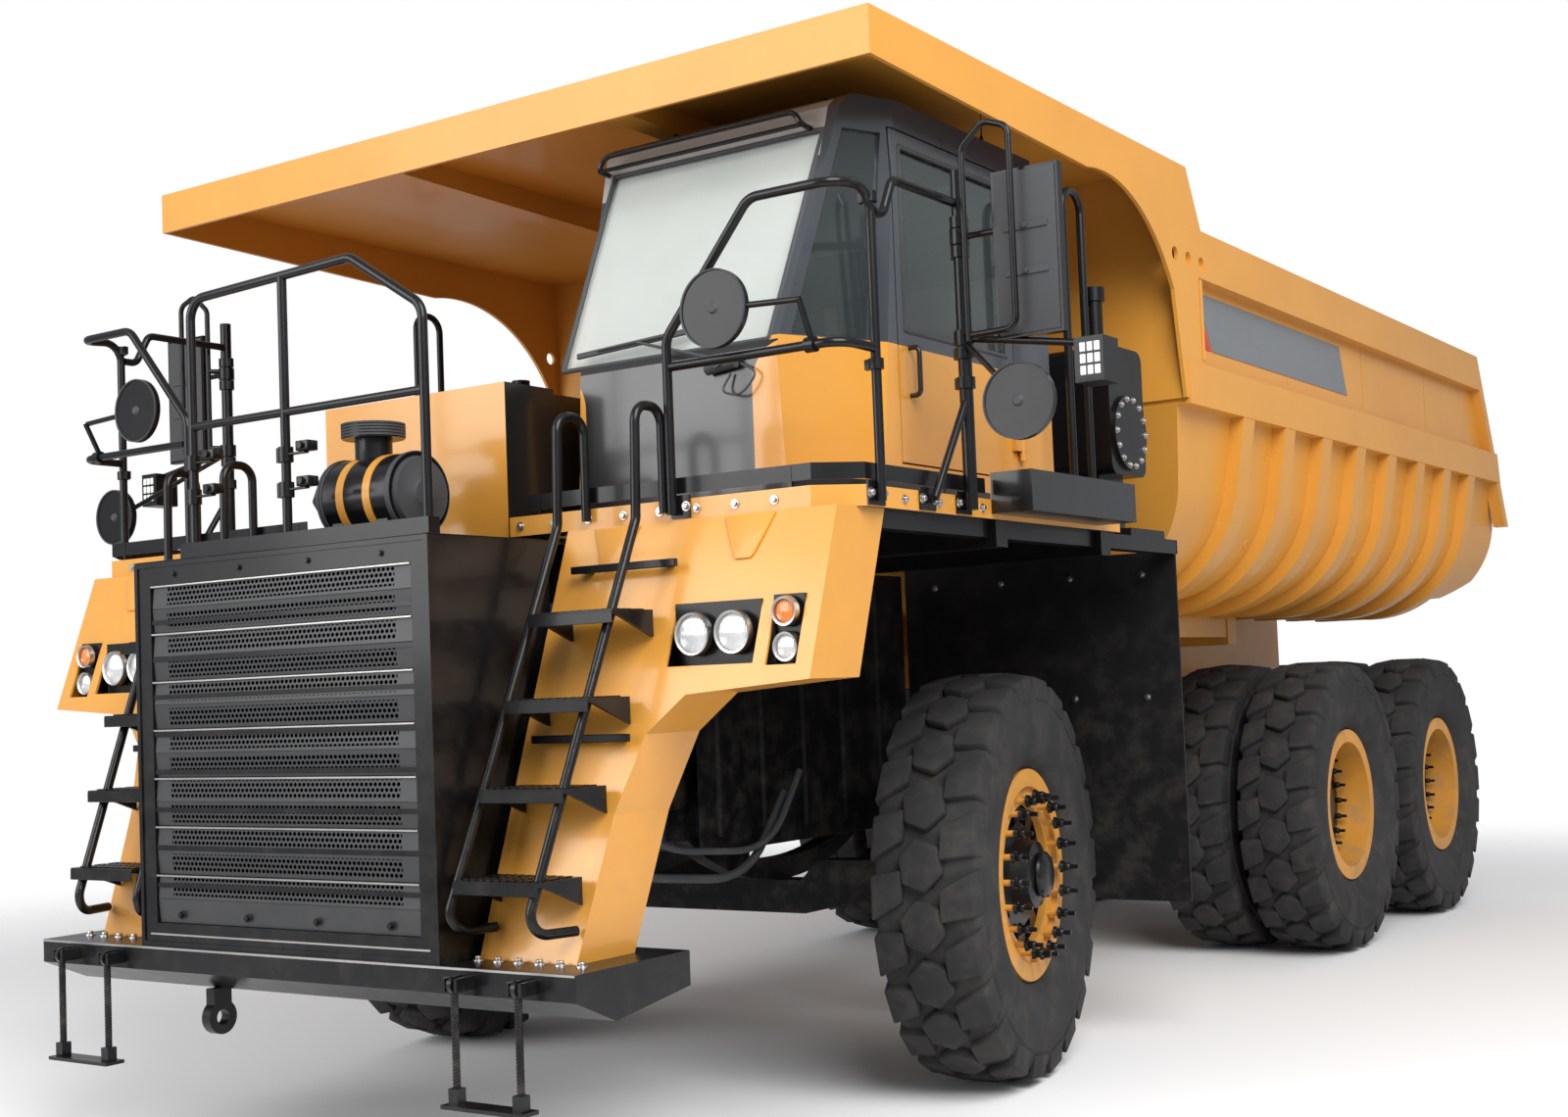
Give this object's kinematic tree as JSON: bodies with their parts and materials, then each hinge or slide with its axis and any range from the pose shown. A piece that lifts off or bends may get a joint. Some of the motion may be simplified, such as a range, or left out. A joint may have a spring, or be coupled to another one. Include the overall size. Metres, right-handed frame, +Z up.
{
  "type": "mining dump truck",
  "caption": "Wide rigid mining dump truck with a canopy dump body, offset cab, steered front wheels, dual rear wheels and a telescopic body hoist.",
  "frame": {"origin": "on the ground, under the middle of the overall length and width", "axes": "+X to the truck's left, -Y towards its front, +Y towards its tail, +Z up"},
  "size_m": [5.72, 10.825, 4.477],
  "materials": {
    "yellow_paint": "gloss",
    "black_paint": "satin",
    "tyre_rubber": "matte",
    "cast_black": "satin",
    "engine_blue": "satin",
    "chromed_rod": "polished",
    "clear_glass": "polished",
    "lamp_lens": "gloss",
    "trim_plastic": "matte",
    "seat_cloth": "woven",
    "flap_rubber": "matte"
  },
  "bodies": {
    "chassis": {"air_cleaner": "trim_plastic", "cab_glass": "clear_glass", "cab_interior": "trim_plastic", "cab_shell": "yellow_paint", "deck_supports": "black_paint", "decks": "yellow_paint", "driveline": "cast_black", "engine_block": "engine_blue", "fenders": "yellow_paint", "frame_rails": "black_paint", "front_axle": "cast_black", "front_bumper": "black_paint", "grille": "black_paint", "grille_housing": "black_paint", "guard_rails": "black_paint", "hood_box": "yellow_paint", "lamps": "lamp_lens", "mirrors": "trim_plastic", "mud_flaps": "flap_rubber", "radiator": "cast_black", "rear_axles": "cast_black", "seat": "seat_cloth", "springs": "cast_black", "stairs": "black_paint", "tanks": "black_paint", "tow_hook": "black_paint"},
    "tipping_body": {"dump_tub": "yellow_paint", "dump_canopy": "yellow_paint"},
    "cab_door": {"cab_door": "yellow_paint", "door_glass": "clear_glass"},
    "hanging_step_left": {"hanging_step_left": "black_paint"},
    "hanging_step_right": {"hanging_step_right": "black_paint"},
    "knuckle_left": {"knuckle_left": "cast_black"},
    "knuckle_right": {"knuckle_right": "cast_black"},
    "tie_rod": {"tie_rod": "black_paint"},
    "wheel_front_left": {"tyre_front_left": "tyre_rubber", "rim_front_left": "yellow_paint", "hub_front_left": "cast_black"},
    "wheel_front_right": {"tyre_front_right": "tyre_rubber", "rim_front_right": "yellow_paint", "hub_front_right": "cast_black"},
    "wheels_mid_left": {"tyres_mid_left": "tyre_rubber", "rims_mid_left": "yellow_paint"},
    "wheels_mid_right": {"tyres_mid_right": "tyre_rubber", "rims_mid_right": "yellow_paint"},
    "wheels_rear_left": {"tyres_rear_left": "tyre_rubber", "rims_rear_left": "yellow_paint"},
    "wheels_rear_right": {"tyres_rear_right": "tyre_rubber", "rims_rear_right": "yellow_paint"},
    "hoist_barrel": {"hoist_barrel": "black_paint"},
    "hoist_stage_1": {"hoist_stage_1": "chromed_rod"},
    "hoist_stage_2": {"hoist_stage_2": "chromed_rod"},
    "hoist_stage_3": {"hoist_stage_3": "chromed_rod"},
    "hoist_stage_4": {"hoist_stage_4": "chromed_rod"}
  },
  "joints": [
    {"name": "body_tip", "type": "hinge", "parent": "chassis", "child": "tipping_body", "pos_m": [0, 4.76, 1.76], "axis": [-1, 0, 0], "range_deg": [0, 45]},
    {"name": "hoist_tilt", "type": "hinge", "parent": "chassis", "child": "hoist_barrel", "pos_m": [0, -1.38, 1.4], "axis": [-1, 0, 0], "range_deg": [0, 25.81]},
    {"name": "hoist_slide_1", "type": "slide", "parent": "hoist_barrel", "child": "hoist_stage_1", "axis": [0, 0, 1], "range_m": [0, 1.1531]},
    {"name": "hoist_slide_2", "type": "slide", "parent": "hoist_stage_1", "child": "hoist_stage_2", "axis": [0, 0, 1], "range_m": [0, 1.1531]},
    {"name": "hoist_slide_3", "type": "slide", "parent": "hoist_stage_2", "child": "hoist_stage_3", "axis": [0, 0, 1], "range_m": [0, 1.1531]},
    {"name": "hoist_slide_4", "type": "slide", "parent": "hoist_stage_3", "child": "hoist_stage_4", "axis": [0, 0, 1], "range_m": [0, 1.1531]},
    {"name": "door_swing", "type": "hinge", "parent": "chassis", "child": "cab_door", "pos_m": [1.916, -2.576, 3.4], "axis": [0, 0, 1], "range_deg": [0, 80]},
    {"name": "steer_left", "type": "hinge", "parent": "chassis", "child": "knuckle_left", "pos_m": [1.235, -2.53, 0.9375], "axis": [0, 0, 1], "range_deg": [-44, 26]},
    {"name": "steer_right", "type": "hinge", "parent": "chassis", "child": "knuckle_right", "pos_m": [-1.235, -2.53, 0.9375], "axis": [0, 0, 1], "range_deg": [-44, 26]},
    {"name": "tie_rod_pivot", "type": "hinge", "parent": "knuckle_left", "child": "tie_rod", "pos_m": [1.18338, -2.20406, 0.7375], "axis": [0, 0, 1], "range_deg": [-27, 45]},
    {"name": "spin_front_left", "type": "hinge", "parent": "knuckle_left", "child": "wheel_front_left", "pos_m": [1.235, -2.53, 0.9375], "axis": [0.9877, 0.1564, 0], "continuous": true},
    {"name": "spin_front_right", "type": "hinge", "parent": "knuckle_right", "child": "wheel_front_right", "pos_m": [-1.235, -2.53, 0.9375], "axis": [0.9877, 0.1564, 0], "continuous": true},
    {"name": "spin_mid_left", "type": "hinge", "parent": "chassis", "child": "wheels_mid_left", "pos_m": [0, 1.998, 0.9375], "axis": [1, 0, 0], "continuous": true},
    {"name": "spin_mid_right", "type": "hinge", "parent": "chassis", "child": "wheels_mid_right", "pos_m": [0, 1.998, 0.9375], "axis": [1, 0, 0], "continuous": true},
    {"name": "spin_rear_left", "type": "hinge", "parent": "chassis", "child": "wheels_rear_left", "pos_m": [0, 4.086, 0.9375], "axis": [1, 0, 0], "continuous": true},
    {"name": "spin_rear_right", "type": "hinge", "parent": "chassis", "child": "wheels_rear_right", "pos_m": [0, 4.086, 0.9375], "axis": [1, 0, 0], "continuous": true},
    {"name": "step_swing_left", "type": "hinge", "parent": "chassis", "child": "hanging_step_left", "pos_m": [1.14, -5.38, 0.83], "axis": [1, 0, 0], "range_deg": [-75, 40]},
    {"name": "step_swing_right", "type": "hinge", "parent": "chassis", "child": "hanging_step_right", "pos_m": [-1.14, -5.38, 0.83], "axis": [1, 0, 0], "range_deg": [-75, 40]}
  ],
  "couplings": [
    {"joint": "hoist_tilt", "follows": "body_tip", "ratio": 0.56241},
    {"joint": "hoist_slide_1", "follows": "body_tip", "m_per_rad": 1.4618},
    {"joint": "hoist_slide_2", "follows": "body_tip", "m_per_rad": 1.4618},
    {"joint": "hoist_slide_3", "follows": "body_tip", "m_per_rad": 1.4618},
    {"joint": "hoist_slide_4", "follows": "body_tip", "m_per_rad": 1.4618},
    {"joint": "steer_right", "follows": "steer_left", "ratio": 1},
    {"joint": "tie_rod_pivot", "follows": "steer_left", "ratio": -1}
  ]
}
